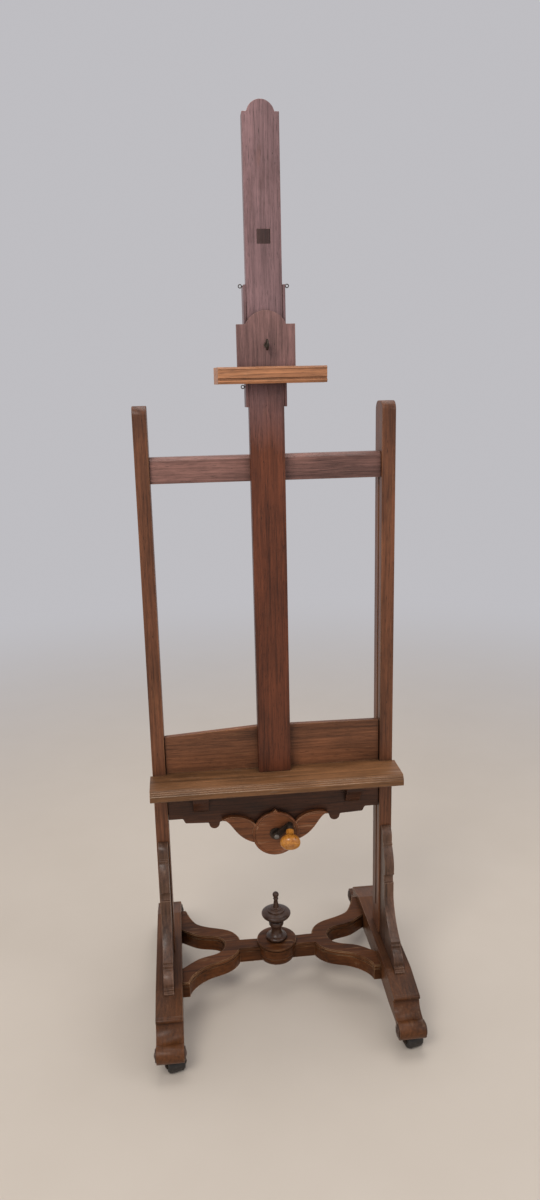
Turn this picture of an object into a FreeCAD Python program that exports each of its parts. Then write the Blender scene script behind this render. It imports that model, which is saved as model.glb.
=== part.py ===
"""Crank-driven H frame studio easel, modelled piece by piece.

Frame of reference: +Z up from the floor, -Y towards the painter, +X to the painter's right.
Millimetres.  The left-hand pieces are at negative X.  The pieces are laid out from the
posts' middle plane (Y = 0); the written files have their origin under the middle of the feet,
`origin_ahead` further forward.
"""
import FreeCAD, Part
import math
import os
import re
from types import SimpleNamespace

import Sketcher
from FreeCAD import Placement, Rotation, Vector

# --------------------------------------------------------------------------------------
# Driving dimensions: alias, value, meaning
# --------------------------------------------------------------------------------------
DIMENSIONS = [
    ("post_outer", 298, "X of a post's outer face"),
    ("post_width", 32, "post, across"),
    ("post_depth", 68, "post, front to back"),
    ("post_top", 1502, "top of the posts"),
    ("post_round", 22, "rounding of a post's top corners"),
    ("tenon_long", 42, "post tenon, front to back"),
    ("tenon_wide", 18, "post tenon, across"),
    ("tenon_deep", 38, "post tenon, into the foot"),
    ("groove_front", -8, "Y of the guide groove's front wall"),
    ("groove_wide", 10, "guide groove, front to back"),
    ("groove_deep", 12, "guide groove, into the post"),
    ("groove_foot", 200, "bottom of the guide groove"),
    ("bar_low", 1329, "underside of the crossbar"),
    ("bar_high", 1388, "top of the crossbar"),
    ("bar_front", -23.4, "Y of the crossbar's front face"),
    ("bar_thick", 30, "crossbar, front to back"),
    ("bar_bevel", 8, "bevel along the crossbar's top front edge"),
    ("foot_middle", 282, "X of a foot's middle line"),
    ("foot_wide", 64, "foot, across"),
    ("foot_top", 134, "flat top of the feet"),
    ("foot_flat", 178, "front end of the flat top, from the middle plane"),
    ("foot_under", 65, "underside of a foot over the casters"),
    ("roll_out", 303, "distance of the front rolls from the middle plane"),
    ("rear_short", 42, "how much shorter the feet are behind the middle plane"),
    ("roll_high", 60, "Z of the rolls"),
    ("roll_radius", 20, "radius of the rolls"),
    ("bracket_wide", 24, "bracket, across"),
    ("stretcher_top", 114, "top of the stretcher"),
    ("stretcher_thick", 40, "stretcher board thickness"),
    ("neck_wide", 39, "stretcher neck beside the middle boss"),
    ("boss_radius", 50, "band round the middle boss of the stretcher"),
    ("boss_rise", 12, "rise of the middle boss above the stretcher"),
    ("tray_half", 303.5, "half length of the tray"),
    ("tray_top", 624, "top of the tray at rest"),
    ("tray_thick", 27, "tray thickness"),
    ("tray_front", 127, "distance of the tray's nose in front of the middle plane"),
    ("back_front", 24, "distance of the backboard's front face from the middle plane"),
    ("back_thick", 14, "backboard thickness"),
    ("back_left", 717.5, "top of the backboard at its left end"),
    ("back_middle", 732, "top of the backboard behind the mast"),
    ("back_right", 730, "top of the backboard at its right end"),
    ("apron_front", 28, "distance of the apron's front face from the middle plane"),
    ("apron_thick", 18, "apron thickness"),
    ("panel_half", 264.8, "half length of backboard and apron"),
    ("disc_high", 449.5, "Z of the carved disc"),
    ("disc_radius", 58.5, "radius of the carved disc"),
    ("disc_front", 44, "distance of the carved disc's face from the middle plane"),
    ("corbel_wide", 38, "corbel, across"),
    ("mast_half", 39, "half width of the mast"),
    ("mast_front", 54, "distance of the mast's front face from the middle plane"),
    ("mast_thick", 30, "mast, front to back"),
    ("mast_shoulder", 2086, "shoulders at the mast's head"),
    ("mast_arch", 23, "rise of the rounded head above the shoulders"),
    ("arch_half", 29, "half width of the rounded head"),
    ("key_mouth", 16, "dovetail groove in the mast, at its mouth"),
    ("key_floor", 23, "dovetail groove in the mast, at its floor"),
    ("key_deep", 10, "dovetail groove in the mast, depth"),
    ("guide_wide", 27, "carriage guide, across"),
    ("guide_back", 28, "Y of the carriage guides' rear face"),
    ("guide_low", 505, "bottom of the carriage guides"),
    ("guide_high", 699, "top of the carriage guides"),
    ("slide_gap", 0.6, "clearance between guide and post"),
    ("crank_high", 450, "Z of the crank's axis"),
    ("crank_shaft_radius", 6, "crank shaft radius"),
    ("fit_gap", 0.06, "radial clearance of a shaft in its bearing"),
    ("worm_module", 3, "module of the worm drive"),
    ("worm_radius", 12, "pitch radius of the worm"),
    ("worm_teeth", 14, "teeth of the worm wheel"),
    ("worm_length", 36, "threaded length of the worm"),
    ("wheel_wide", 14, "face width of the worm wheel"),
    ("rack_module", 2.5, "module of the racks and pinions"),
    ("pinion_teeth", 14, "teeth of a pinion"),
    ("pinion_wide", 11, "face width of a pinion"),
    ("rack_wide", 14, "rack, across"),
    ("rack_pitch_line", 36.25, "Y of the racks' pitch line"),
    ("rack_seat", 28, "Y of the bottom of the rack's seat"),
    ("rack_low", 406, "lower end of the racks"),
    ("rack_high", 1082, "upper end of the racks"),
    ("cross_radius", 6, "cross shaft radius"),
    ("cross_half", 290, "half length of the cross shaft"),
    ("arm_across", 34, "crank arm, sideways from shaft to handle"),
    ("arm_up", 27, "crank arm, up from shaft to handle"),
    ("handle_lean", 6.1, "lean of the handle's front end to the left, in degrees"),
    ("handle_droop", 35, "droop of the handle's front end, in degrees"),
    ("plate_half", 63.7, "half width of the clamp plate"),
    ("plate_back", 54.5, "distance of the clamp plate's rear face from the middle plane"),
    ("plate_thick", 14, "clamp plate thickness"),
    ("plate_low", 1579, "bottom of the clamp plate, top of its shelf"),
    ("plate_shoulder", 1668, "shoulders of the clamp plate"),
    ("plate_arch", 28, "rise of the clamp plate's arch"),
    ("plate_arch_half", 44, "half width of the clamp plate's arch"),
    ("shelf_left", 115, "clamp shelf, from the middle to its left end"),
    ("shelf_right", 128.5, "clamp shelf, from the middle to its right end"),
    ("shelf_thick", 35, "height of the clamp shelf's bar"),
    ("shelf_front", 98, "distance of the clamp shelf's front from the middle plane"),
    ("cheek_low", 1494, "bottom of the clamp's cheeks"),
    ("cheek_high", 1750, "top of the clamp's cheeks"),
    ("cheek_thick", 6, "cheek thickness"),
    ("cheek_gap", 0.5, "clearance of the clamp around the mast"),
    ("screw_high", 1624, "Z of the thumbscrew"),
    ("screw_radius", 3.9, "thumbscrew shank radius"),
    ("caster_out", 245, "distance of the front swivel pins from the middle plane"),
    ("caster_trail", 40, "distance from swivel pin to wheel axle"),
    ("wheel_radius", 19, "caster wheel radius"),
    ("wheel_half", 20.5, "half width of a caster wheel"),
    ("axle_radius", 3, "caster axle radius"),
    ("stem_radius", 5, "caster swivel pin radius"),
    ("origin_ahead", 21, "distance from the posts' middle plane forward to the origin"),
]

doc = FreeCAD.newDocument("HFrameEasel")
sheet = doc.addObject("Spreadsheet::Sheet", "Sizes")
for row, (alias, value, meaning) in enumerate(DIMENSIONS, start=1):
    sheet.set(f"A{row}", meaning)
    sheet.set(f"B{row}", str(value))
    sheet.setAlias(f"B{row}", alias)
doc.recompute()
S = SimpleNamespace(**{alias: float(sheet.get(alias)) for alias, _, _ in DIMENSIONS})

PARTS = []  # the finished sub-parts, in the order in which they are written


# --------------------------------------------------------------------------------------
# Small helpers
# --------------------------------------------------------------------------------------
def bind(obj, prop, text):
    """Bind one property of an object to an expression of sheet aliases."""
    if isinstance(text, str):
        linked = re.sub(r"[a-z_]+", lambda word: "Sizes." + word.group(), text)
        obj.setExpression(prop, linked)
    else:
        obj.setExpression(prop, repr(float(text)))


def place(obj, corner):
    """Bind the position of a primitive to three expressions."""
    for axis, text in zip("xyz", corner):
        bind(obj, f"Placement.Base.{axis}", text)


def finish(obj, label):
    """Name a finished sub-part and put it on the list of pieces."""
    obj.Label = label
    PARTS.append(obj)
    return obj


def box(name, across, along, tall, corner):
    obj = doc.addObject("Part::Box", name)
    for prop, text in (("Length", across), ("Width", along), ("Height", tall)):
        bind(obj, prop, text)
    place(obj, corner)
    return obj


TURNS = {
    "x": Rotation(Vector(0, 1, 0), 90),
    "y": Rotation(Vector(1, 0, 0), -90),
    "z": Rotation(),
}


def cylinder(name, radius, length, start, axis="z"):
    obj = doc.addObject("Part::Cylinder", name)
    obj.Placement = Placement(Vector(), TURNS[axis])
    bind(obj, "Radius", radius)
    bind(obj, "Height", length)
    place(obj, start)
    return obj


def fuse(name, pieces):
    obj = doc.addObject("Part::MultiFuse", name)
    obj.Shapes = pieces
    return obj


def cut(name, base, tools):
    obj = doc.addObject("Part::Cut", name)
    obj.Base = base
    obj.Tool = tools[0] if len(tools) == 1 else fuse(name + "_tools", tools)
    return obj


def mirrored(name, source, normal=Vector(1, 0, 0)):
    obj = doc.addObject("Part::Mirroring", name)
    obj.Source = source
    obj.Base = Vector()
    obj.Normal = normal
    return obj


def rounded(name, base, radius, choose):
    """Fillet the edges of an object that the function `choose` picks."""
    doc.recompute()
    obj = doc.addObject("Part::Fillet", name)
    obj.Base = base
    picked = [i for i, edge in enumerate(base.Shape.Edges, start=1) if choose(edge)]
    obj.Edges = [(i, radius, radius) for i in picked]
    return obj


def arc(through, end):
    """A step of an outline: an arc through one point to another."""
    return ("arc", through, end)


def curve(*points):
    """A step of an outline: a smooth curve through all the points."""
    return ("curve",) + points


def at(point):
    """A point of an outline as a vector in the sketch's plane."""
    return Vector(point[0], point[1], 0)


def outline_edges(steps):
    """Geometry of a closed outline.  Each step is a point, an arc() or a curve()."""
    start = steps[0]
    here, edges = start, []
    for step in list(steps[1:]) + [start]:
        if step[0] == "arc":
            edges.append(Part.Arc(at(here), at(step[1]), at(step[2])))
            here = step[2]
        elif step[0] == "curve":
            spline = Part.BSplineCurve()
            spline.interpolate([at(here)] + [at(point) for point in step[1:]])
            edges.append(spline)
            here = step[-1]
        elif math.dist(here, step) > 1e-6:
            edges.append(Part.LineSegment(at(here), at(step)))
            here = step
    return edges


def body_with_sketch(name, plane, steps, offset=0):
    """A PartDesign body with one closed sketch on a plane of its own origin."""
    body = doc.addObject("PartDesign::Body", name)
    sketch = body.newObject("Sketcher::SketchObject", name + "_sketch")
    flat = next(f for f in body.Origin.OriginFeatures if f.Role == plane)
    sketch.AttachmentSupport = [(flat, "")]
    sketch.MapMode = "FlatFace"
    bind(sketch, "AttachmentOffset.Base.z", offset)
    edges = outline_edges(steps)
    sketch.addGeometry(edges, False)
    for i in range(len(edges)):
        join(sketch, i, (i + 1) % len(edges))
    return body, sketch


def join(sketch, first, second):
    """Make the ends that two edges of a sketch share coincident."""
    for one in (1, 2):
        for other in (1, 2):
            gap = sketch.getPoint(first, one).distanceToPoint(sketch.getPoint(second, other))
            if gap < 1e-6:
                link = Sketcher.Constraint("Coincident", first, one, second, other)
                sketch.addConstraint(link)
                return


def pad(name, plane, steps, length, offset=0):
    """A board: a closed outline padded along the plane's normal.

    XY_Plane pads upwards, XZ_Plane towards -Y and YZ_Plane towards +X.
    """
    body, sketch = body_with_sketch(name, plane, steps, offset)
    feature = body.newObject("PartDesign::Pad", name + "_pad")
    feature.Profile = sketch
    bind(feature, "Length", length)
    return body


def turned(name, plane, steps, axis_name, offset=0):
    """A turned piece: a closed half profile revolved about an axis of its sketch."""
    body, sketch = body_with_sketch(name, plane, steps, offset)
    feature = body.newObject("PartDesign::Revolution", name + "_turning")
    feature.Profile = sketch
    feature.ReferenceAxis = (sketch, [axis_name])
    feature.Angle = 360
    return body


def moved(obj, position, rotation=Rotation()):
    """Give an object its place."""
    obj.Placement = Placement(position, rotation)
    return obj


def plain_feature(name, shape):
    obj = doc.addObject("Part::Feature", name)
    obj.Shape = shape
    return obj


def sides(left_name, right_name, right_part):
    """Finish a right-hand piece and its mirror image on the left."""
    finish(mirrored(left_name, right_part), left_name)
    return finish(right_part, right_name)


# --------------------------------------------------------------------------------------
# Frame: feet
# --------------------------------------------------------------------------------------
def foot_slope(y):
    """Height of a foot's upper side on the slope in front of its flat top."""
    return S.foot_top - SLOPE_FALL * (y - S.foot_flat) / (S.roll_out - LIP_IN - S.foot_flat)


LIP_IN = 51            # where the toe's slope ends, measured inwards from the roll's middle
SLOPE_FALL = 17        # fall of the slope from the flat top to the lip


def foot_half(sign, shorter):
    """Upper side, roll and underside of one half of a foot, from the flat top outwards."""
    roll, high, radius = S.roll_out - shorter, S.roll_high, S.roll_radius
    lip, lip_high, lip_radius = roll - 45, S.foot_top - SLOPE_FALL - 6, 5.5
    slant = math.sqrt(0.5) * radius
    crease = roll - 13
    crease_high = high + math.sqrt(radius**2 - 13**2)
    under_in = roll - 0.97 * radius
    under_high = high - math.sqrt(radius**2 - (0.97 * radius) ** 2)
    return [
        (sign * (S.foot_flat - shorter), S.foot_top),
        (sign * (roll - LIP_IN), S.foot_top - SLOPE_FALL),
        (sign * (lip - 5), S.foot_top - SLOPE_FALL + 1),
        (sign * (lip - 1), lip_high + lip_radius),
        arc((sign * (lip + lip_radius - 1), lip_high), (sign * (lip - 1), lip_high - lip_radius)),
        (sign * (lip - 5), lip_high - lip_radius),
        (sign * (lip - 5), lip_high - lip_radius - 2),
        arc((sign * (lip + 7), crease_high + 9), (sign * crease, crease_high)),
        arc((sign * (roll + radius), high), (sign * (roll - slant), high - slant)),
        arc((sign * (roll - 0.92 * radius), high - 0.39 * radius), (sign * under_in, under_high)),
        (sign * (roll - radius - 5), S.foot_under),
        (sign * (208 - shorter), S.foot_under),
    ]


def foot_outline():
    """Side view of a foot in Y and Z: flat top, sloping toes, lips, coves and rolls."""
    rear = foot_half(1, S.rear_short)
    front = foot_half(-1, 0)
    # the front half is walked backwards, so its arcs swap their ends
    back = []
    for i in range(len(front) - 1, -1, -1):
        step = front[i]
        end = step[2] if step[0] == "arc" else step
        following = front[i + 1] if i + 1 < len(front) else None
        if following is not None and following[0] == "arc":
            back.append(arc(following[1], end))
        else:
            back.append(end)
    return rear + [arc((0, S.foot_under + 12), back[0])] + back[1:]


foot_board = pad("right_foot_board", "YZ_Plane", foot_outline(), "foot_wide",
                 "foot_middle - foot_wide / 2")
foot_bores = [
    box("right_foot_mortise", "tenon_wide", "tenon_long", "tenon_deep + 1",
        ("post_outer - post_width / 2 - tenon_wide / 2", "-tenon_long / 2",
         "foot_top - tenon_deep")),
]
for end, pin in (("front", "-caster_out"), ("rear", "caster_out - rear_short")):
    foot_bores.append(cylinder(f"right_foot_{end}_bore", "stem_radius + fit_gap", 40,
                               ("foot_middle", pin, "foot_under - 5")))
sides("left_foot", "right_foot", cut("right_foot_cut", foot_board, foot_bores))

# turned bosses on both ends of each roll
BOSS_PROFILE = [
    (0, 0), (0, 6), arc((5, 5), (9, 3)), (9.4, 2.2), (11.2, 2.2), arc((14, 2.8), (15, 0)),
]
bosses = []
for side in (-1, 1):
    for roll_y in (-S.roll_out, S.roll_out - S.rear_short):
        for face in (-1, 1):
            boss = turned(f"roll_boss_{len(bosses) + 1}", "XZ_Plane", BOSS_PROFILE, "V_Axis")
            tilt = Rotation(Vector(0, 1, 0), 90 * face)
            seat_middle = Vector(side * S.foot_middle + face * S.foot_wide / 2, roll_y,
                                 S.roll_high)
            bosses.append(moved(boss, seat_middle, tilt))
scroll_bosses = doc.addObject("Part::Compound", "scroll_bosses_group")
scroll_bosses.Links = bosses
finish(scroll_bosses, "scroll_bosses")


# --------------------------------------------------------------------------------------
# Frame: posts, crossbar and the key that steadies the mast
# --------------------------------------------------------------------------------------
post_blank = box("right_post_blank", "post_width", "post_depth", "post_top - foot_top",
                 ("post_outer - post_width", "-post_depth / 2", "foot_top"))
post_tenon = box("right_post_tenon", "tenon_wide - 0.4", "tenon_long - 0.4", "tenon_deep",
                 ("post_outer - post_width / 2 - tenon_wide / 2 + 0.2",
                  "0.2 - tenon_long / 2", "foot_top - tenon_deep"))


def is_post_corner(edge):
    """The front and rear top edges of a post, which run across it."""
    box_ = edge.BoundBox
    return box_.ZMin > S.post_top - 0.1 and box_.YLength < 0.1 and box_.XLength > 1


post_round = rounded("right_post_rounded", post_blank, S.post_round, is_post_corner)
post_cuts = [
    box("right_post_groove", "groove_deep", "groove_wide", "bar_low - groove_foot",
        ("post_outer - post_width", "groove_front", "groove_foot")),
    box("right_rack_seat", "rack_wide", "post_depth / 2 - rack_seat + 1",
        "rack_high - rack_low",
        ("foot_middle - rack_wide / 2", "rack_seat", "rack_low")),
    box("right_bar_mortise", 16, 18, "bar_high - bar_low - 16",
        ("post_outer - post_width", "bar_front + 6", "bar_low + 6")),
]
post_shape = fuse("right_post_joined", [post_round, post_tenon])
sides("left_post", "right_post", cut("right_post_cut", post_shape, post_cuts))

bar_end = "post_outer - post_width"
bar_blank = box("crossbar_blank", f"2 * ({bar_end})", "bar_thick", "bar_high - bar_low",
                (f"-({bar_end})", "bar_front", "bar_low"))
bar_tenons = box("crossbar_tenons", f"2 * ({bar_end}) + 30", 17.6, "bar_high - bar_low - 16.4",
                 (f"-({bar_end}) - 15", "bar_front + 6.2", "bar_low + 6.2"))


def is_bar_top(edge):
    """The crossbar's top front edge."""
    box_ = edge.BoundBox
    return box_.ZMin > S.bar_high - 0.1 and box_.YMax < S.bar_front + 0.1 and box_.XLength > 1


bar_bevelled = doc.addObject("Part::Chamfer", "crossbar_bevelled")
doc.recompute()
bar_bevelled.Base = bar_blank
bar_bevelled.Edges = [(i, S.bar_bevel, S.bar_bevel)
                      for i, edge in enumerate(bar_blank.Shape.Edges, start=1) if is_bar_top(edge)]
finish(fuse("crossbar_joined", [bar_bevelled, bar_tenons]), "crossbar")

# dovetail key on the crossbar's front, running in the groove in the mast's back
KEY_PLAY = 0.4
key_front = S.mast_front - S.mast_thick + S.key_deep - KEY_PLAY
key_outline = [
    (-S.key_mouth / 2 + KEY_PLAY, S.bar_front),
    (S.key_mouth / 2 - KEY_PLAY, S.bar_front),
    (S.key_floor / 2 - KEY_PLAY, -key_front),
    (-S.key_floor / 2 + KEY_PLAY, -key_front),
]
finish(pad("mast_key_block", "XY_Plane", key_outline, 36, "bar_low + 6"), "mast_key")


# --------------------------------------------------------------------------------------
# Frame: carved brackets on the feet in front of the posts
# --------------------------------------------------------------------------------------
POST_FACE = S.post_depth / 2


def ahead(distance, high):
    """A point of the bracket's side view, given from the post's front face."""
    return (-POST_FACE - distance, high)


bracket_steps = [
    ahead(0, 446), arc(ahead(17, 440), ahead(24, 425)), ahead(24, 411), ahead(29, 409),
    ahead(29, 403), ahead(26, 402),
    arc(ahead(45, 371), ahead(49, 338)), arc(ahead(48, 332), ahead(43, 330)),
    ahead(41, 329), arc(ahead(39, 319.5), ahead(41, 310)), ahead(46, 309), ahead(46, 270),
    arc(ahead(72, 222), ahead(112, 192)), ahead(119, 190), ahead(119, 183), ahead(123, 182),
    ahead(123, 174), arc(ahead(140, 166), ahead(148, 150)), ahead(148, 141), ahead(154, 141),
    ahead(154, 135), ahead(162, 134), ahead(162, foot_slope(POST_FACE + 162)),
    (-S.foot_flat, S.foot_top), ahead(0, S.foot_top),
]
bracket = pad("right_bracket_board", "YZ_Plane", bracket_steps, "bracket_wide",
              "foot_middle - bracket_wide / 2")
sides("left_bracket", "right_bracket", bracket)


# --------------------------------------------------------------------------------------
# Frame: stretcher, its middle boss and the turned finial
# --------------------------------------------------------------------------------------
def shifted_left(run, distance):
    """The points of a run, each moved square to the left of the run's direction."""
    result = []
    for i, (x, y) in enumerate(run):
        before, after = run[max(i - 1, 0)], run[min(i + 1, len(run) - 1)]
        along, across = after[0] - before[0], after[1] - before[1]
        size = math.hypot(along, across)
        result.append((x - distance * across / size, y + distance * along / size))
    return result


def stretcher_outline(inset=0.0):
    """Plan view of the right half: a neck that forks into two S-curved arms."""
    neck = S.neck_wide / 2
    foot = S.foot_middle - S.foot_wide / 2
    start = S.boss_radius - BOSS_SLOT
    front = shifted_left([
        (99, -neck), (104, -30), (116, -45), (134, -58), (156, -67), (176, -74), (194, -84),
        (212, -99), (226, -117), (232, -135),
    ], inset)
    opening = shifted_left([
        (foot, -77), (232, -62), (215, -49), (194, -39), (172, -33), (153, -24), (141, -10),
        (137, 7), (141, 22), (150, 33), (165, 40.5), (183, 45), (206, 52), (228, 66), (foot, 82),
    ], inset)
    rear = shifted_left([
        (236, 172), (228, 146), (219, 125), (207, 106), (186, 92), (159, 81), (131, 70),
        (112, 56), (101, 39), (96, neck),
    ], inset)
    return [
        (start, -neck + inset), front[0], curve(*front[1:]), (foot, -135 + inset),
        (foot, opening[0][1]), curve(*opening[1:-1], (foot, opening[-1][1])),
        (foot, 172 - inset), rear[0], curve(*rear[1:]), (start, neck - inset),
    ]


BOSS_SLOT = 10         # depth of the neck's joint in the middle boss
QUIRK = 1.6            # depth of the groove that sets off the bead under the top edge
CROWN_IN = 2.2         # how far the top surface stands back from the bead
low = pad("stretcher_low", "XY_Plane", stretcher_outline(), "stretcher_thick - 11",
          "stretcher_top - stretcher_thick")
middle = pad("stretcher_quirk", "XY_Plane", stretcher_outline(QUIRK), 2.5, "stretcher_top - 11")
high = pad("stretcher_high", "XY_Plane", stretcher_outline(), 6, "stretcher_top - 8.5")
crown = pad("stretcher_crown", "XY_Plane", stretcher_outline(CROWN_IN), 2.5,
            "stretcher_top - 2.5")
sides("left_stretcher", "right_stretcher", fuse("stretcher_joined", [low, middle, high, crown]))

boss_low = S.stretcher_top - S.stretcher_thick
boss_edge = S.boss_radius + 1.5
seat = S.stretcher_top + S.boss_rise
boss_profile = [
    (0, boss_low), (S.boss_radius - 6, boss_low),
    arc((S.boss_radius - 3, boss_low + 6), (S.boss_radius - 2.5, boss_low + 15)),
    (S.boss_radius, boss_low + 19), (S.boss_radius, seat - 12), (S.boss_radius - 2.5, seat - 11),
    (S.boss_radius - 2.5, seat - 9), (boss_edge, seat - 8), (boss_edge, seat - 3.5),
    arc((boss_edge - 8, seat - 1), (boss_edge - 20, seat)), (0, seat),
]
boss_turning = turned("stretcher_boss_turning", "XZ_Plane", boss_profile, "V_Axis")
boss_slots = [
    box("boss_slot_right", 30, "neck_wide", "stretcher_thick",
        (f"boss_radius - {BOSS_SLOT}", "-neck_wide / 2", "stretcher_top - stretcher_thick")),
    box("boss_slot_left", 30, "neck_wide", "stretcher_thick",
        (f"{BOSS_SLOT} - 30 - boss_radius", "-neck_wide / 2", "stretcher_top - stretcher_thick")),
]
finish(cut("stretcher_boss_cut", boss_turning, boss_slots), "stretcher_boss")

BALL_RADIUS, BALL_NECK, BALL_FLAT = 8.3, 4.5, 1.2
ball_middle = seat + 125.5
ball_low = ball_middle - math.sqrt(BALL_RADIUS ** 2 - BALL_NECK ** 2)
ball_high = ball_middle + math.sqrt(BALL_RADIUS ** 2 - BALL_FLAT ** 2)
finial_profile = [
    (0, seat), (25, seat), arc((27, seat + 4.5), (24, seat + 9)), (21, seat + 10),
    curve((15.5, seat + 16), (13, seat + 26), (15, seat + 35)),
    (17, seat + 37), arc((19.4, seat + 43.5), (17, seat + 50)), (14.5, seat + 51.5),
    (14.5, seat + 54),
    curve((22, seat + 58.5), (31, seat + 62.8), (37, seat + 68.5), (38, seat + 73),
          (33.5, seat + 77.5), (24.5, seat + 80.5)),
    (22.4, seat + 80.8), arc((23, seat + 82.8), (21, seat + 84)), (16.2, seat + 85.6),
    (14.6, seat + 85.8), arc((15.2, seat + 87.4), (13.6, seat + 88.4)), (9.5, seat + 89.4),
    (8, seat + 90), curve((6.6, seat + 99), (5.2, seat + 107), (4.8, seat + 111)),
    (5.6, seat + 112.2), arc((6.9, seat + 114.4), (5.6, seat + 116.6)), (BALL_NECK, seat + 117.6),
    (BALL_NECK, ball_low), arc((BALL_RADIUS, ball_middle), (BALL_FLAT, ball_high)), (0, ball_high),
]
finish(turned("finial_turning", "XZ_Plane", finial_profile, "V_Axis"), "finial")


# --------------------------------------------------------------------------------------
# Carriage: tray, backboard, apron with its carving, corbels
# --------------------------------------------------------------------------------------
nose, top = -S.tray_front, S.tray_top
POST_GAP = 0.6
TRAY_STEP = 0.3        # fall of the tray's top behind the ledge, where the mast stands
LEDGE_REAR = S.mast_front + 0.2
tray_rear = -(S.post_depth / 2 + POST_GAP)
tray_profile = [
    (tray_rear, top - S.tray_thick), (tray_rear, top - TRAY_STEP),
    (-LEDGE_REAR, top - TRAY_STEP), (-LEDGE_REAR, top), (nose + 9.4, top),
    arc((nose + 7.2, top - 1), (nose + 6.8, top - 3.4)), (nose + 5.6, top - 3.8),
    arc((nose + 4.2, top - 5.2), (nose + 4, top - 7.6)), (nose + 2.8, top - 8),
    arc((nose + 1.4, top - 9.4), (nose + 1.2, top - 11.8)), (nose, top - 12.4),
    (nose, top - 24.5), arc((nose + 0.8, top - 26.2), (nose + 2.6, top - S.tray_thick)),
]
tray_board = pad("tray_board", "YZ_Plane", tray_profile, "2 * tray_half", "-tray_half")
tray_tongue = box("tray_tongue", "2 * panel_half", f"post_depth / 2 + {POST_GAP} - back_front",
                  f"tray_thick - {TRAY_STEP}",
                  ("-panel_half", f"-(post_depth / 2 + {POST_GAP})", "tray_top - tray_thick"))
finish(fuse("tray_joined", [tray_board, tray_tongue]), "tray")

back_low = S.tray_top - S.tray_thick
back_outline = [
    (-S.panel_half, back_low), (S.panel_half, back_low), (S.panel_half, S.back_right),
    (S.mast_half, S.back_middle), (-S.mast_half, S.back_middle), (-S.panel_half, S.back_left),
]
finish(pad("backboard_board", "XZ_Plane", back_outline, "back_thick", "back_front - back_thick"),
       "backboard")


def apron_lower_edge():
    """The right half of the apron's cut lower edge, from its end to the disc."""
    radius = S.disc_radius - 2
    angle = math.radians(12)
    meet = (radius * math.cos(angle), S.disc_high - radius * math.sin(angle))
    return [
        (S.panel_half, 500), (232, 500),
        curve((229, 498), (226, 492), (222, 487.5)),
        (167, 485), (165, 481), arc((152, 468.5), (139, 481)), (138, 485.5),
        curve((129, 486.5), (115, 480), (104, 467), (94, 454), (81, 443.5), meet),
    ]


def both_halves(half):
    """An outline's right half, walked inwards, followed by its mirror image."""
    def flip(point):
        return (-point[0], point[1])

    ends = [step[-1] if isinstance(step[0], str) else step for step in half]
    left = []
    for i in range(len(half) - 1, 0, -1):
        step, before = half[i], flip(ends[i - 1])
        if step[0] == "arc":
            left.append(arc(flip(step[1]), before))
        elif step[0] == "curve":
            left.append(curve(*[flip(p) for p in reversed(step[1:-1])], before))
        else:
            left.append(before)
    return list(half), left


right_half, left_half = both_halves(apron_lower_edge())
disc_bottom = (0, S.disc_high - S.disc_radius + 2)
left_meet = (-right_half[-1][-1][0], right_half[-1][-1][1])
apron_outline = (
    [(S.panel_half, back_low)] + right_half + [arc(disc_bottom, left_meet)] + left_half
    + [(-S.panel_half, back_low)]
)
apron_board = pad("apron_board", "XZ_Plane", apron_outline, "apron_thick",
                  "apron_front - apron_thick")
bush_bore = cylinder("apron_bush_bore", 10.05, 60, (0, -60, "crank_high"), "y")
finish(cut("apron_cut", apron_board, [bush_bore]), "apron")

# the carved cartouche: a dished disc with a moulded rim, two wings and a cusp
disc_edge, disc_face = S.disc_radius, -S.disc_front
disc_profile = [
    (0, -S.apron_front), (disc_edge - 3, -S.apron_front), (disc_edge - 3, disc_face + 7),
    (disc_edge, disc_face + 6), (disc_edge, disc_face + 3),
    arc((disc_edge - 1.4, disc_face + 0.8), (disc_edge - 3.6, disc_face)),
    arc((disc_edge - 5.6, disc_face + 0.6), (disc_edge - 6.6, disc_face + 2.2)),
    (disc_edge - 7.6, disc_face + 3), (0, disc_face + 3),
]
disc = moved(turned("cartouche_disc", "XY_Plane", disc_profile, "V_Axis"),
             Vector(0, 0, S.disc_high))
wing_upper = [(44, 470), (58, 486), (74, 496), (96, 502), (116, 502.5), (134, 496)]
wing_lower = [(127, 494), (118, 487), (108, 474), (98, 460), (85, 446), (71, 436), (52, 428)]
wing_inner = [(x - 2, y - 5.5) for x, y in wing_upper[1:-1]]
wing_right = pad("cartouche_wing_right", "XZ_Plane",
                 [wing_upper[0], curve(*wing_upper[1:]), curve(*wing_lower)], 12, "apron_front")
edge_right = pad("cartouche_edge_right", "XZ_Plane",
                 [wing_upper[0], curve(*wing_upper[1:]), curve(*reversed(wing_inner)),
                  (47, 464)], 14.5, "apron_front")
cusp_outline = [
    (-34, 488), (34, 488), curve((25, 497.5), (11, 504), (0, 514.5)),
    curve((-11, 504), (-25, 497.5), (-34, 488)),
]
cusp = pad("cartouche_cusp", "XZ_Plane", cusp_outline, 13, "apron_front")
cartouche = fuse("cartouche_joined", [
    disc, wing_right, edge_right, cusp,
    mirrored("cartouche_wing_left", wing_right), mirrored("cartouche_edge_left", edge_right),
])
cartouche_bore = cylinder("cartouche_bush_bore", 10.05, 60, (0, -60, "crank_high"), "y")
finish(cut("cartouche_cut", cartouche, [cartouche_bore]), "cartouche")

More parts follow.
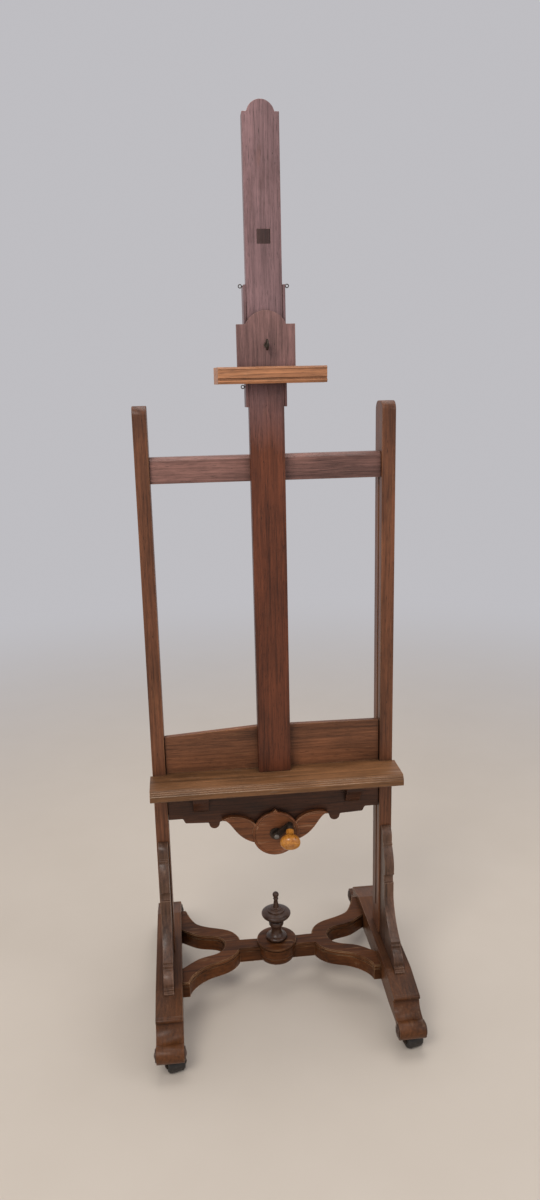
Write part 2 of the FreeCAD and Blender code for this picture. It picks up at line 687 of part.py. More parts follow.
CORBEL_FRONT = 60      # distance of the corbels' front from the middle plane
corbel_profile = [
    (-S.apron_front, back_low), (-CORBEL_FRONT, back_low), (-CORBEL_FRONT, 556),
    (3 - CORBEL_FRONT, 553), arc((-47, 540), (-37, 524)), (-33, 521), (-S.apron_front, 516),
]
for label, corbel_middle in (("left_corbel", -184), ("right_corbel", 197)):
    finish(pad(f"{label}_block", "YZ_Plane", corbel_profile, "corbel_wide",
               f"{corbel_middle} - corbel_wide / 2"), label)


# --------------------------------------------------------------------------------------
# Carriage: mast with its dovetail groove and let-in patch, and the guides in the posts
# --------------------------------------------------------------------------------------
mast_outline = [
    (-S.mast_half, top - TRAY_STEP), (S.mast_half, top - TRAY_STEP),
    (S.mast_half, S.mast_shoulder),
    (S.arch_half, S.mast_shoulder),
    arc((0, S.mast_shoulder + S.mast_arch), (-S.arch_half, S.mast_shoulder)),
    (-S.mast_half, S.mast_shoulder),
]
mast_board = pad("mast_board", "XZ_Plane", mast_outline, "mast_thick", "mast_front - mast_thick")
mast_back = S.mast_thick - S.mast_front
groove_outline = [
    (-S.key_mouth / 2, mast_back), (S.key_mouth / 2, mast_back),
    (S.key_floor / 2, mast_back - S.key_deep), (-S.key_floor / 2, mast_back - S.key_deep),
]
PATCH = 28
PATCH_DEEP = 6
patch_corner = (-PATCH / 2 + 1, "-mast_front", 1832)
mast_cuts = [
    pad("mast_groove", "XY_Plane", groove_outline, 860, "tray_top - 1"),
    box("mast_patch_seat", PATCH, PATCH_DEEP, PATCH, patch_corner),
]
finish(cut("mast_cut", mast_board, mast_cuts), "mast")
finish(box("mast_patch_block", PATCH, PATCH_DEEP, PATCH, patch_corner), "mast_patch")

inner_face = "post_outer - post_width"
guide_stile = box("guide_stile", "guide_wide", "guide_back + back_front - back_thick",
                  "guide_high - guide_low",
                  (f"{inner_face} - slide_gap - guide_wide", "back_thick - back_front",
                   "guide_low"))
guide_tongue = box("guide_tongue", "groove_deep - 1 + slide_gap", "groove_wide - 0.8",
                   "guide_high - guide_low",
                   (f"{inner_face} - slide_gap", "groove_front + 0.4", "guide_low"))
sides("left_guide", "right_guide", fuse("guide_joined", [guide_stile, guide_tongue]))


# --------------------------------------------------------------------------------------
# Gears: involute wheels, racks and the worm
# --------------------------------------------------------------------------------------
PRESSURE = math.radians(20)
SHAFT_Y = S.rack_pitch_line + S.rack_module * S.pinion_teeth / 2
SHAFT_Z = S.crank_high + S.worm_radius + S.worm_module * S.worm_teeth / 2


def involute(angle):
    return math.tan(angle) - angle


def gear_wire(module, teeth, backlash, twist=0.0):
    """Outline of a stub-toothed gear about the origin, one tooth pointing along +X."""
    pitch = module * teeth / 2
    base = pitch * math.cos(PRESSURE)
    root, tip = pitch - 1.1 * module, pitch + 0.8 * module
    half = math.pi / (2 * teeth) - backlash / (2 * pitch)

    def flank(radius):
        """Half the angle that a tooth takes up at a radius."""
        reach = math.acos(min(1.0, base / radius))
        return half + involute(PRESSURE) - involute(reach)

    def point(radius, angle):
        return Vector(radius * math.cos(angle), radius * math.sin(angle), 0)

    edges = []
    middle = (root + tip) / 2
    for tooth in range(teeth):
        centre = twist + 2 * math.pi * tooth / teeth
        rise = [point(r, centre - flank(r)) for r in (root, middle, tip)]
        fall = [point(r, centre + flank(r)) for r in (tip, middle, root)]
        following = centre + 2 * math.pi / teeth - flank(root)
        edges.append(Part.Arc(*rise).toShape())
        edges.append(Part.Arc(rise[2], point(tip, centre), fall[0]).toShape())
        edges.append(Part.Arc(*fall).toShape())
        gap_middle = centre + math.pi / teeth
        edges.append(Part.Arc(fall[2], point(root, gap_middle), point(root, following)).toShape())
    return Part.Wire(edges)


def straight_gear(module, teeth, backlash, wide):
    """A straight-toothed gear about the X axis, centred, one tooth towards -Z."""
    solid = Part.Face(gear_wire(module, teeth, backlash)).extrude(Vector(0, 0, wide))
    solid.translate(Vector(0, 0, -wide / 2))
    solid.rotate(Vector(), Vector(0, 1, 0), 90)
    return solid


def slanted_gear(module, teeth, backlash, wide, slant):
    """The same gear with its teeth slanted by `slant` radians over its width."""
    near = gear_wire(module, teeth, backlash, -slant / 2)
    far = gear_wire(module, teeth, backlash, slant / 2)
    near.translate(Vector(0, 0, -wide / 2))
    far.translate(Vector(0, 0, wide / 2))
    solid = Part.makeLoft([near, far], True, True)
    solid.rotate(Vector(), Vector(0, 1, 0), 90)
    return solid


def along_x(radius, start, end, y, z):
    return Part.makeCylinder(radius, end - start, Vector(start, y, z), Vector(1, 0, 0))


def along_y(radius, start, end, x, z):
    return Part.makeCylinder(radius, end - start, Vector(x, start, z), Vector(0, 1, 0))


def rack_solid():
    """The right-hand rack; its teeth face the rear and a gap faces the pinion's axis."""
    step = math.pi * S.rack_module
    tip, root = S.rack_pitch_line + 0.8 * S.rack_module, S.rack_pitch_line - 1.1 * S.rack_module
    half = step / 4 - RACK_BACKLASH / 4
    half_tip = half - 0.8 * S.rack_module * math.tan(PRESSURE)
    half_root = half + 1.1 * S.rack_module * math.tan(PRESSURE)
    points = [(S.rack_seat, S.rack_low), (root, S.rack_low)]
    first = math.ceil((S.rack_low - SHAFT_Z) / step)
    centre = SHAFT_Z + (first + 0.5) * step
    while centre + half_root < S.rack_high:
        points += [(root, centre - half_root), (tip, centre - half_tip),
                   (tip, centre + half_tip), (root, centre + half_root)]
        centre += step
    points += [(root, S.rack_high), (S.rack_seat, S.rack_high)]
    corners = [Vector(S.foot_middle - S.rack_wide / 2, y, z) for y, z in points + points[:1]]
    return Part.Face(Part.makePolygon(corners)).extrude(Vector(S.rack_wide, 0, 0))


def worm_solid():
    """A left-handed single-start worm along Y with a thread gap facing the wheel."""
    lead = math.pi * S.worm_module
    root, tip = S.worm_radius - 1.15 * S.worm_module, S.worm_radius + 0.85 * S.worm_module
    sunk = root - 0.1
    half = lead / 4 - WORM_BACKLASH / 4
    slope = math.tan(PRESSURE)
    helix = Part.makeHelix(lead, S.worm_length + 2 * lead, S.worm_radius, 0, True)
    corners = [(sunk, -1), (tip, -1), (tip, 1), (sunk, 1), (sunk, -1)]
    profile = Part.makePolygon([
        Vector(radius, 0, side * (half - (radius - S.worm_radius) * slope))
        for radius, side in corners
    ])
    thread = helix.makePipeShell([profile], True, True)
    thread.rotate(Vector(), Vector(1, 0, 0), -90)
    start = SHAFT_Y - S.worm_length / 2
    phase = SHAFT_Y + lead / 4
    phase -= lead * math.ceil((phase - start + half + 1) / lead)
    thread.translate(Vector(0, phase, S.crank_high))
    envelope = along_y(tip + 1, start, start + S.worm_length, 0, S.crank_high)
    core = along_y(root, start, start + S.worm_length, 0, S.crank_high)
    bore = along_y(S.crank_shaft_radius + 0.02, start - 1, start + S.worm_length + 1, 0, S.crank_high)
    return core.fuse(thread.common(envelope)).cut(bore)


RACK_BACKLASH = 0.8    # total play of pinion and rack at the pitch line, half on each
WORM_BACKLASH = 1.0    # total play of worm and wheel at the pitch line, half on each
right_rack = plain_feature("right_rack_bar", rack_solid())
sides("left_rack", "right_rack", right_rack)


# --------------------------------------------------------------------------------------
# Lifting gear: cross shaft, pinions, worm wheel and worm
# --------------------------------------------------------------------------------------
finish(cylinder("cross_shaft_bar", "cross_radius", "2 * cross_half",
                ("-cross_half", SHAFT_Y, SHAFT_Z), "x"), "cross_shaft")

lead_slope = S.worm_module / (2 * S.worm_radius)
wheel_radius = S.worm_module * S.worm_teeth / 2
wheel = slanted_gear(S.worm_module, int(S.worm_teeth), WORM_BACKLASH / 2, S.wheel_wide,
                     -S.wheel_wide * lead_slope / wheel_radius)
hub = along_x(11, -12, 12, 0, 0)
wheel = wheel.fuse(hub).cut(along_x(S.cross_radius + 0.02, -20, 20, 0, 0))
moved(finish(plain_feature("worm_wheel_gear", wheel), "worm_wheel"), Vector(0, SHAFT_Y, SHAFT_Z))

for side, sign in (("left", -1), ("right", 1)):
    gear = straight_gear(S.rack_module, int(S.pinion_teeth), RACK_BACKLASH / 2, S.pinion_wide)
    gear.rotate(Vector(), Vector(1, 0, 0), -90)
    gear = gear.cut(along_x(S.cross_radius + 0.02, -20, 20, 0, 0))
    pinion = finish(plain_feature(f"{side}_pinion_gear", gear), f"{side}_pinion")
    moved(pinion, Vector(sign * S.foot_middle, SHAFT_Y, SHAFT_Z))

finish(plain_feature("worm_screw", worm_solid()), "worm")

# iron yoke behind the apron: it carries the rear end of the crank shaft and the cross shaft
YOKE_HALF = 22         # half width of the yoke over its two arms
yoke_back = S.back_thick - S.back_front
yoke_plate = box("yoke_plate", 90, 4, 100, (-45, yoke_back, "crank_high - 30"))
arm_outline = [
    (yoke_back + 4, S.crank_high - 19), (84, S.crank_high - 19), (84, S.crank_high + 19),
    (SHAFT_Y + 15, SHAFT_Z + 10), arc((SHAFT_Y, SHAFT_Z + 15), (SHAFT_Y - 15, SHAFT_Z + 10)),
    (yoke_back + 4, S.crank_high + 62),
]
yoke_arms = [
    pad("yoke_arm_right", "YZ_Plane", arm_outline, 6, YOKE_HALF - 6),
    pad("yoke_arm_left", "YZ_Plane", arm_outline, 6, -YOKE_HALF),
]
yoke_bridge = box("yoke_bridge", 2 * YOKE_HALF, 6, 38, (-YOKE_HALF, 78, "crank_high - 19"))
yoke_bores = [
    cylinder("yoke_crank_bore", "crank_shaft_radius + fit_gap", 120, (0, -20, "crank_high"), "y"),
    cylinder("yoke_cross_bore", "cross_radius + fit_gap", 100, (-50, SHAFT_Y, SHAFT_Z), "x"),
]
finish(cut("yoke_cut", fuse("yoke_joined", [yoke_plate, yoke_bridge] + yoke_arms), yoke_bores),
       "gear_yoke")

# hangers that carry the ends of the cross shaft from the backs of the guides
HANGER_MIDDLE = 252
hanger_plate = box("hanger_plate", 24, 4, 42, (HANGER_MIDDLE - 12, "guide_back", "guide_low + 1"))
hanger_outline = [
    (S.guide_back + 4, S.guide_low + 1), (SHAFT_Y - 11, SHAFT_Z - 5),
    arc((SHAFT_Y, SHAFT_Z - 12), (SHAFT_Y + 12, SHAFT_Z)),
    (SHAFT_Y + 11, SHAFT_Z + 5), (S.guide_back + 4, S.guide_low + 40),
]
hanger_arm = pad("hanger_arm", "YZ_Plane", hanger_outline, 10, HANGER_MIDDLE - 5)
hanger_bore = cylinder("hanger_bore", "cross_radius + fit_gap", 40,
                       (HANGER_MIDDLE - 20, SHAFT_Y, SHAFT_Z), "x")
sides("left_hanger", "right_hanger",
      cut("hanger_cut", fuse("hanger_joined", [hanger_plate, hanger_arm]), [hanger_bore]))

# --------------------------------------------------------------------------------------
# Crank: bush, shaft, arm, spindle and the turned handle
# --------------------------------------------------------------------------------------
HUB_BACK = 45          # distance of the arm's hub from the middle plane
HUB_FRONT = 57
ARM_BACK, ARM_FRONT = 49, 55
bush_tube = cylinder("bush_tube", 10, "disc_front - 3 - apron_front + apron_thick",
                     (0, "3 - disc_front", "crank_high"), "y")
bush_flange = cylinder("bush_flange", 15, 3, (0, "-disc_front", "crank_high"), "y")
bush_bore = cylinder("bush_bore", "crank_shaft_radius + fit_gap", 60, (0, -60, "crank_high"), "y")
finish(cut("bush_cut", fuse("bush_joined", [bush_tube, bush_flange]), [bush_bore]), "crank_bush")

finish(cylinder("crank_shaft_bar", "crank_shaft_radius", HUB_FRONT + 3 + 84,
                (0, -HUB_FRONT - 3, "crank_high"), "y"), "crank_shaft")

arm_handle = (S.arm_across, S.crank_high + S.arm_up)


def beside(centre, radius, angle):
    return (centre[0] + radius * math.cos(angle), centre[1] + radius * math.sin(angle))


def link_outline(start, start_radius, end, end_radius):
    """A flat link: two round ends joined by straight sides."""
    along = math.atan2(end[1] - start[1], end[0] - start[0])
    side = math.acos((start_radius - end_radius) / math.dist(start, end))
    return [
        beside(start, start_radius, along + side),
        arc(beside(start, start_radius, along + math.pi), beside(start, start_radius, along - side)),
        beside(end, end_radius, along - side),
        arc(beside(end, end_radius, along), beside(end, end_radius, along + side)),
    ]


arm_link = pad("crank_arm_link", "XZ_Plane", link_outline((0, S.crank_high), 8, arm_handle, 6.5),
               ARM_FRONT - ARM_BACK, ARM_BACK)
arm_hub = cylinder("crank_arm_hub", 9, HUB_FRONT - HUB_BACK, (0, -HUB_FRONT, "crank_high"), "y")
SPINDLE_RADIUS = 3.5
ARM_MIDDLE = (ARM_BACK + ARM_FRONT) / 2


def on_handle_axis(name, profile):
    """A turned piece on the handle's axis, drawn towards -Y from the middle of the arm's end."""
    piece = turned(name, "XY_Plane", profile, "V_Axis")
    eye = Vector(S.arm_across, -ARM_MIDDLE, S.crank_high + S.arm_up)
    lean = Rotation(Vector(0, 0, 1), -S.handle_lean)
    return moved(piece, eye, lean * Rotation(Vector(1, 0, 0), S.handle_droop))


# distances along the handle's axis from the middle of the arm's end, negative outwards
EYE_BACK, EYE_FRONT = 3, -10.2
FERRULE_BACK, FERRULE_FRONT = -11, -16
HANDLE_END, BORE_END = -61.4, -50
eye_radius = SPINDLE_RADIUS + 0.02
arm_boss = on_handle_axis("crank_arm_boss", [
    (0, EYE_BACK), (7.2, EYE_BACK), (7.2, -5), (8, -6), (8, EYE_FRONT + 1), (7.2, EYE_FRONT),
    (0, EYE_FRONT),
])
arm_bores = [
    cylinder("crank_arm_bore", "crank_shaft_radius + 0.02", 60, (0, -70, "crank_high"), "y"),
    on_handle_axis("crank_arm_eye", [(0, 9), (eye_radius, 9), (eye_radius, -15), (0, -15)]),
]
finish(cut("crank_arm_cut", fuse("crank_arm_joined", [arm_link, arm_hub, arm_boss]), arm_bores),
       "crank_arm")

spindle_profile = [
    (0, EYE_BACK), (SPINDLE_RADIUS, EYE_BACK), (SPINDLE_RADIUS, BORE_END + 1.5),
    (SPINDLE_RADIUS - 1, BORE_END + 0.5), (0, BORE_END + 0.5),
]
finish(on_handle_axis("spindle_turning", spindle_profile), "handle_spindle")

handle_bore = SPINDLE_RADIUS + 0.3
ferrule_profile = [
    (handle_bore, FERRULE_BACK), (8.4, FERRULE_BACK), (9.2, FERRULE_BACK - 0.8), (9.2, -14),
    (9.8, -14.4), (9.8, -15.6), (9.2, FERRULE_FRONT), (handle_bore, FERRULE_FRONT),
]
finish(on_handle_axis("ferrule_turning", ferrule_profile), "handle_ferrule")

handle_profile = [
    (handle_bore, FERRULE_FRONT), (9.6, FERRULE_FRONT),
    curve((10, -18), (9.9, -23), (10.6, -27.5), (14, -31), (20, -35.5), (24, -41.5), (25.2, -48),
          (23.4, -54.5), (18, -59.4), (11.8, -61)),
    (10.8, -60.2), (10, HANDLE_END), (0, HANDLE_END), (0, BORE_END), (handle_bore, BORE_END),
]
finish(on_handle_axis("handle_turning", handle_profile), "handle")

# --------------------------------------------------------------------------------------
# Canvas clamp on the mast
# --------------------------------------------------------------------------------------
plate_outline = [
    (-S.plate_half, S.plate_low), (S.plate_half, S.plate_low), (S.plate_half, S.plate_shoulder),
    (S.plate_arch_half, S.plate_shoulder),
    arc((0, S.plate_shoulder + S.plate_arch), (-S.plate_arch_half, S.plate_shoulder)),
    (-S.plate_half, S.plate_shoulder),
]
NUT_SIDE = 18
plate_board = pad("clamp_plate_board", "XZ_Plane", plate_outline, "plate_thick", "plate_back")
plate_cuts = [
    box("clamp_nut_pocket", NUT_SIDE, 11, NUT_SIDE,
        (-NUT_SIDE / 2, "-plate_back - 11", S.screw_high - NUT_SIDE / 2)),
    cylinder("clamp_screw_hole", "screw_radius + 0.5", 40, (0, -90, "screw_high"), "y"),
]
finish(cut("clamp_plate_cut", plate_board, plate_cuts), "clamp_plate")
nut_block = box("clamp_nut_block", NUT_SIDE, 6, NUT_SIDE,
                (-NUT_SIDE / 2, "-plate_back - 11", S.screw_high - NUT_SIDE / 2))
nut_bore = cylinder("clamp_nut_bore", "screw_radius + fit_gap", 40, (0, -90, "screw_high"), "y")
finish(cut("clamp_nut_cut", nut_block, [nut_bore]), "clamp_nut")

SHOE_SIDE = 17.2
SHOE_THICK = 3
SHOE_BACK = S.mast_front + 0.1
SHOE_TRAVEL = 2.3      # how far the shoe draws back from the mast
TIP_RADIUS = 2.5       # the thumbscrew's reduced tip, which runs in the shoe
shoe_block = box("clamp_shoe_block", SHOE_SIDE, SHOE_THICK, SHOE_SIDE,
                 (-SHOE_SIDE / 2, -SHOE_BACK - SHOE_THICK, S.screw_high - SHOE_SIDE / 2))
shoe_hole = cylinder("clamp_shoe_hole", f"{TIP_RADIUS} + fit_gap", SHOE_THICK + 2,
                     (0, -SHOE_BACK - SHOE_THICK - 1, "screw_high"), "y")
finish(cut("clamp_shoe_cut", shoe_block, [shoe_hole]), "clamp_shoe")

SCREW_HEAD = 78        # distance of the thumbscrew's collar from the middle plane
SHANK_END = SHOE_BACK + SHOE_THICK + SHOE_TRAVEL + 0.6
TIP_END = SHOE_BACK + 1.1
screw_parts = [
    cylinder("thumbscrew_tip", TIP_RADIUS, SHANK_END - TIP_END,
             (0, -SHANK_END, "screw_high"), "y"),
    cylinder("thumbscrew_shank", "screw_radius", SCREW_HEAD - SHANK_END,
             (0, -SCREW_HEAD, "screw_high"), "y"),
    cylinder("thumbscrew_collar", 6, 2.5, (0, -SCREW_HEAD - 1, "screw_high"), "y"),
]
eye = doc.addObject("Part::Torus", "thumbscrew_eye")
bind(eye, "Radius1", 9.5)
bind(eye, "Radius2", 2.4)
eye.Placement = Placement(Vector(), TURNS["x"])
place(eye, (0, -SCREW_HEAD - 10.5, "screw_high"))
finish(fuse("thumbscrew_joined", screw_parts + [eye]), "thumbscrew")

shelf_top, shelf_front = S.plate_low, -S.shelf_front
shelf_profile = [
    (-S.plate_back, shelf_top), (shelf_front + 10, shelf_top),
    (shelf_front + 9, shelf_top - 1.5), (shelf_front + 7.5, shelf_top - 1.5),
    arc((shelf_front + 5.5, shelf_top), (shelf_front + 3.5, shelf_top - 2)),
    arc((shelf_front + 1.6, shelf_top - 2.4), (shelf_front + 0.6, shelf_top - 5)),
    (shelf_front + 2.2, shelf_top - 6), (shelf_front + 2.2, shelf_top - 23),
    (shelf_front + 4.5, shelf_top - 24), (shelf_front + 4.5, shelf_top - 27),
    (shelf_front, shelf_top - 28), (shelf_front, shelf_top - 31),
    (shelf_front + 4, shelf_top - S.shelf_thick), (-S.plate_back, shelf_top - S.shelf_thick),
]
shelf_bar = pad("clamp_shelf_bar", "YZ_Plane", shelf_profile, "shelf_left + shelf_right",
                "-shelf_left")
shelf_trim = pad("clamp_shelf_trim", "XY_Plane", [
    (-S.shelf_left - 5, -50), (-S.shelf_left - 0.6, -50),
    (-S.shelf_left + 7.6, -S.shelf_front - 3), (-S.shelf_left - 5, -S.shelf_front - 3),
], "shelf_thick + 10", "plate_low - shelf_thick - 5")
finish(cut("clamp_shelf_cut", shelf_bar, [shelf_trim]), "clamp_shelf")

cheek_inner = "mast_half + cheek_gap"
CHEEK_REAR = 8         # distance behind the middle plane that the cheeks stop short of
cheek = box("right_cheek_board", "cheek_thick", f"plate_back - {CHEEK_REAR}",
            "cheek_high - cheek_low", (cheek_inner, "-plate_back", "cheek_low"))
sides("left_cheek", "right_cheek", cheek)
finish(box("clamp_back_board", f"2 * ({cheek_inner})", 13, "cheek_high - cheek_low",
           (f"-({cheek_inner})", "0.5 + mast_thick - mast_front", "cheek_low")), "clamp_back")

EYE_BEHIND = 40        # distance of the screw eyes from the middle plane
EYE_REACH = 5.6        # distance of a ring's middle from the cheek's face
eyes = []
for side, eye_high in ((-1, S.cheek_high - 2), (1, S.cheek_high - 2), (-1, S.cheek_low + 44)):
    face = side * (S.mast_half + S.cheek_gap + S.cheek_thick)
    ring_middle = Vector(face + side * EYE_REACH, -EYE_BEHIND, eye_high)
    ring = Part.makeTorus(3.5, 1.0, ring_middle, Vector(0, 1, 0))
    shank = Part.makeCylinder(1.2, EYE_REACH - 2.8, Vector(face, -EYE_BEHIND, eye_high),
                              Vector(side, 0, 0))
    eyes.append(ring.fuse(shank))
finish(plain_feature("screw_eyes_group", Part.makeCompound(eyes)), "screw_eyes")

# --------------------------------------------------------------------------------------
# Casters: plate, swivelling fork with its axle, and barrel wheel, four times
# --------------------------------------------------------------------------------------
CROWN_TOP = S.foot_under - 2.8
FORK_INNER = S.wheel_half + 0.5
FORK_OUTER = FORK_INNER + 2.4


def fork_solid():
    """Fork and riveted axle about the swivel pin, trailing towards -Y."""
    axle_y, axle_z = -S.caster_trail, S.wheel_radius
    stem = Part.makeCylinder(S.stem_radius, 96 - CROWN_TOP + 3, Vector(0, 0, CROWN_TOP - 3))
    crown = Part.makeCylinder(25, 5, Vector(0, 0, CROWN_TOP - 5))
    side_view = [
        (13, CROWN_TOP), (-14, CROWN_TOP), (axle_y - 7.4, axle_z + 3),
        arc((axle_y - 2, axle_z - 7.7), (axle_y + 6.9, axle_z - 4)),
        (-27, 24), (-6, CROWN_TOP - 9), (13, CROWN_TOP - 7),
    ]
    cheek_wire = Part.Wire([edge.toShape() for edge in outline_edges(side_view)])
    cheek_wire.rotate(Vector(), Vector(1, 1, 1), 120)
    fork = stem.fuse(crown)
    for start in (-FORK_OUTER, FORK_INNER):
        cheek_plate = Part.Face(cheek_wire).extrude(Vector(FORK_OUTER - FORK_INNER, 0, 0))
        cheek_plate.translate(Vector(start, 0, 0))
        fork = fork.fuse(cheek_plate)
    fork = fork.cut(along_x(S.axle_radius + 0.02, -40, 40, axle_y, axle_z)).removeSplitter()
    axle = along_x(S.axle_radius, -FORK_OUTER - 1.8, FORK_OUTER + 1.8, axle_y, axle_z)
    for start in (-FORK_OUTER - 1.8, FORK_OUTER + 0.02):
        axle = axle.fuse(along_x(4.6, start, start + 1.78, axle_y, axle_z))
    return Part.makeCompound([fork, axle])


TREAD_ROUND = 7        # rounding of the barrel wheel's two edges
tread_half = S.wheel_half - TREAD_ROUND
tread_inner = S.wheel_radius - TREAD_ROUND
tread_corner = TREAD_ROUND * math.sqrt(0.5)
wheel_profile = [
    (-S.wheel_half, S.axle_radius + S.fit_gap), (-S.wheel_half, tread_inner),
    arc((-tread_half - tread_corner, tread_inner + tread_corner), (-tread_half, S.wheel_radius)),
    (tread_half, S.wheel_radius),
    arc((tread_half + tread_corner, tread_inner + tread_corner), (S.wheel_half, tread_inner)),
    (S.wheel_half, S.axle_radius + S.fit_gap),
]
# name, side in X, end in Y, heading of the trailing wheel in degrees from straight out
CASTERS = [
    ("front_left", -1, -1, 15), ("front_right", 1, -1, 14),
    ("rear_left", -1, 1, 10), ("rear_right", 1, 1, 18),
]
plates = []
for name, side, end, heading in CASTERS:
    out = -S.caster_out if end < 0 else S.caster_out - S.rear_short
    pin = Vector(side * S.foot_middle, out, 0)
    turn = Rotation(Vector(0, 0, 1), heading + (180 if end > 0 else 0))
    disc_plate = Part.makeCylinder(20, 2.5, pin + Vector(0, 0, S.foot_under - 2.5))
    bore = Part.makeCylinder(S.stem_radius + S.fit_gap, 10, pin + Vector(0, 0, S.foot_under - 6))
    plates.append(disc_plate.cut(bore))
    fork = finish(plain_feature(f"{name}_fork_iron", fork_solid()), f"{name}_fork")
    moved(fork, pin, turn)
    tread = finish(turned(f"{name}_wheel_turning", "XY_Plane", wheel_profile, "H_Axis"),
                   f"{name}_wheel")
    hub_place = pin + turn.multVec(Vector(0, -S.caster_trail, S.wheel_radius))
    moved(tread, hub_place, turn)
finish(plain_feature("caster_plates_group", Part.makeCompound(plates)), "caster_plates")

# --------------------------------------------------------------------------------------
# Check every object, then write each sub-part to its own file, moved back so that the
# origin lies under the middle of the feet
# --------------------------------------------------------------------------------------
doc.recompute()
for obj in doc.Objects:
    if "Invalid" in obj.State or "Error" in obj.State:
        raise RuntimeError(f"{obj.Label} failed: {obj.State}")

os.makedirs("parts", exist_ok=True)
for obj in PARTS:
    shape = obj.Shape
    if shape.isNull() or not shape.isValid() or not shape.Solids:
        raise RuntimeError(f"{obj.Label} has no valid solid")
    shape.translated(Vector(0, S.origin_ahead, 0)).exportStep(f"parts/{obj.Label}.step")
print(f"{len(PARTS)} sub-parts written")
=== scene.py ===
"""Looks of the h frame easel: worn walnut, boxwood handle and blackened iron on the CAD frame."""

import math

import bpy
from mathutils import Matrix, Vector

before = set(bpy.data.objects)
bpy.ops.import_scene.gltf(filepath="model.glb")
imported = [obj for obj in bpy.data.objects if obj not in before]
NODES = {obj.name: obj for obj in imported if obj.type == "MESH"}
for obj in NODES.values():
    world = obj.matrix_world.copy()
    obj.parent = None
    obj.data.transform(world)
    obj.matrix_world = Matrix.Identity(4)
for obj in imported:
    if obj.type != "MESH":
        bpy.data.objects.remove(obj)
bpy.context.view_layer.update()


# --------------------------------------------------------------------------------------
# Shader helpers
# --------------------------------------------------------------------------------------
LOOKUPS = 4  # samples of each edge and corner lookup


class Tree:
    """Short calls for building one material's node tree."""

    def __init__(self, name):
        self.material = bpy.data.materials.new(name)
        self.material.use_nodes = True
        self.nodes = self.material.node_tree.nodes
        self.links = self.material.node_tree.links
        self.shader = self.nodes["Principled BSDF"]
        self.object_space = self.nodes.new("ShaderNodeTexCoord").outputs["Object"]

    def feed(self, socket, value):
        """Give a socket another node's output or a plain value."""
        if isinstance(value, bpy.types.NodeSocket):
            self.links.new(value, socket)
        else:
            socket.default_value = value

    def put(self, name, value):
        """Feed the input of that name on the material's own shader."""
        self.feed(self.shader.inputs[name], value)

    def space(self, scale=(1, 1, 1), shift=(0, 0, 0), turn=(0, 0, 0), source=None):
        """The object's own coordinates, or another vector, turned, scaled and shifted."""
        node = self.nodes.new("ShaderNodeMapping")
        node.inputs["Location"].default_value = shift
        node.inputs["Rotation"].default_value = turn
        node.inputs["Scale"].default_value = scale
        self.feed(node.inputs["Vector"], source or self.object_space)
        return node.outputs["Vector"]

    def noise(self, vector, scale, detail=3.0, rough=0.5, distort=0.0):
        node = self.nodes.new("ShaderNodeTexNoise")
        self.feed(node.inputs["Vector"], vector)
        node.inputs["Scale"].default_value = scale
        node.inputs["Detail"].default_value = detail
        node.inputs["Roughness"].default_value = rough
        node.inputs["Distortion"].default_value = distort
        return node.outputs["Fac"]

    def ramp(self, value, stops):
        """Colour ramp; a stop is (place, grey or colour)."""
        node = self.nodes.new("ShaderNodeValToRGB")
        points = node.color_ramp.elements
        while len(points) < len(stops):
            points.new(0.5)
        for point, (place, tone) in zip(points, stops):
            point.position = place
            point.color = (*tone, 1) if isinstance(tone, tuple) else (tone, tone, tone, 1)
        self.feed(node.inputs["Fac"], value)
        return node.outputs["Color"]

    def math(self, how, first, second=0.0, clamp=False):
        node = self.nodes.new("ShaderNodeMath")
        node.operation = how
        node.use_clamp = clamp
        self.feed(node.inputs[0], first)
        self.feed(node.inputs[1], second)
        return node.outputs[0]

    def total(self, *terms):
        """Weighted sum; a term is (value, weight)."""
        parts = [self.math("MULTIPLY", value, weight) for value, weight in terms]
        whole = parts[0]
        for part in parts[1:]:
            whole = self.math("ADD", whole, part)
        return whole

    def length(self, vector):
        node = self.nodes.new("ShaderNodeVectorMath")
        node.operation = "LENGTH"
        self.feed(node.inputs[0], vector)
        return node.outputs["Value"]

    def height(self, vector):
        """A vector's Z."""
        node = self.nodes.new("ShaderNodeSeparateXYZ")
        self.feed(node.inputs[0], vector)
        return node.outputs["Z"]

    def mix(self, amount, first, second):
        """First colour at amount 0, second at 1."""
        node = self.nodes.new("ShaderNodeMix")
        node.data_type = "RGBA"
        self.feed(node.inputs[0], amount)
        for socket, value in ((node.inputs[6], first), (node.inputs[7], second)):
            if isinstance(value, tuple):
                value = (*value, 1)
            self.feed(socket, value)
        return node.outputs[2]

    def bump(self, height, distance, strength, normal=None):
        node = self.nodes.new("ShaderNodeBump")
        node.inputs["Distance"].default_value = distance
        node.inputs["Strength"].default_value = strength
        self.feed(node.inputs["Height"], height)
        if normal is not None:
            self.feed(node.inputs["Normal"], normal)
        return node.outputs["Normal"]

    def edges(self, radius, low, high):
        """1 on outer edges, 0 on flat faces, from how far a bevelled normal leans; the edges take
        the worn colour, in the wood partly a painted highlight.
        """
        bevel = self.nodes.new("ShaderNodeBevel")
        bevel.samples = LOOKUPS
        bevel.inputs["Radius"].default_value = radius
        geometry = self.nodes.new("ShaderNodeNewGeometry")
        dot = self.nodes.new("ShaderNodeVectorMath")
        dot.operation = "DOT_PRODUCT"
        self.feed(dot.inputs[0], bevel.outputs["Normal"])
        self.feed(dot.inputs[1], geometry.outputs["Normal"])
        return self.ramp(dot.outputs["Value"], [(low, 1.0), (high, 0.0)])

    def corner_shade(self, distance, low, high):
        """Painted shade: 1 deep in corners, 0 in the open, from what stands within a distance."""
        node = self.nodes.new("ShaderNodeAmbientOcclusion")
        node.samples = LOOKUPS
        node.inputs["Distance"].default_value = distance
        return self.ramp(node.outputs["AO"], [(low, 1.0), (high, 0.0)])


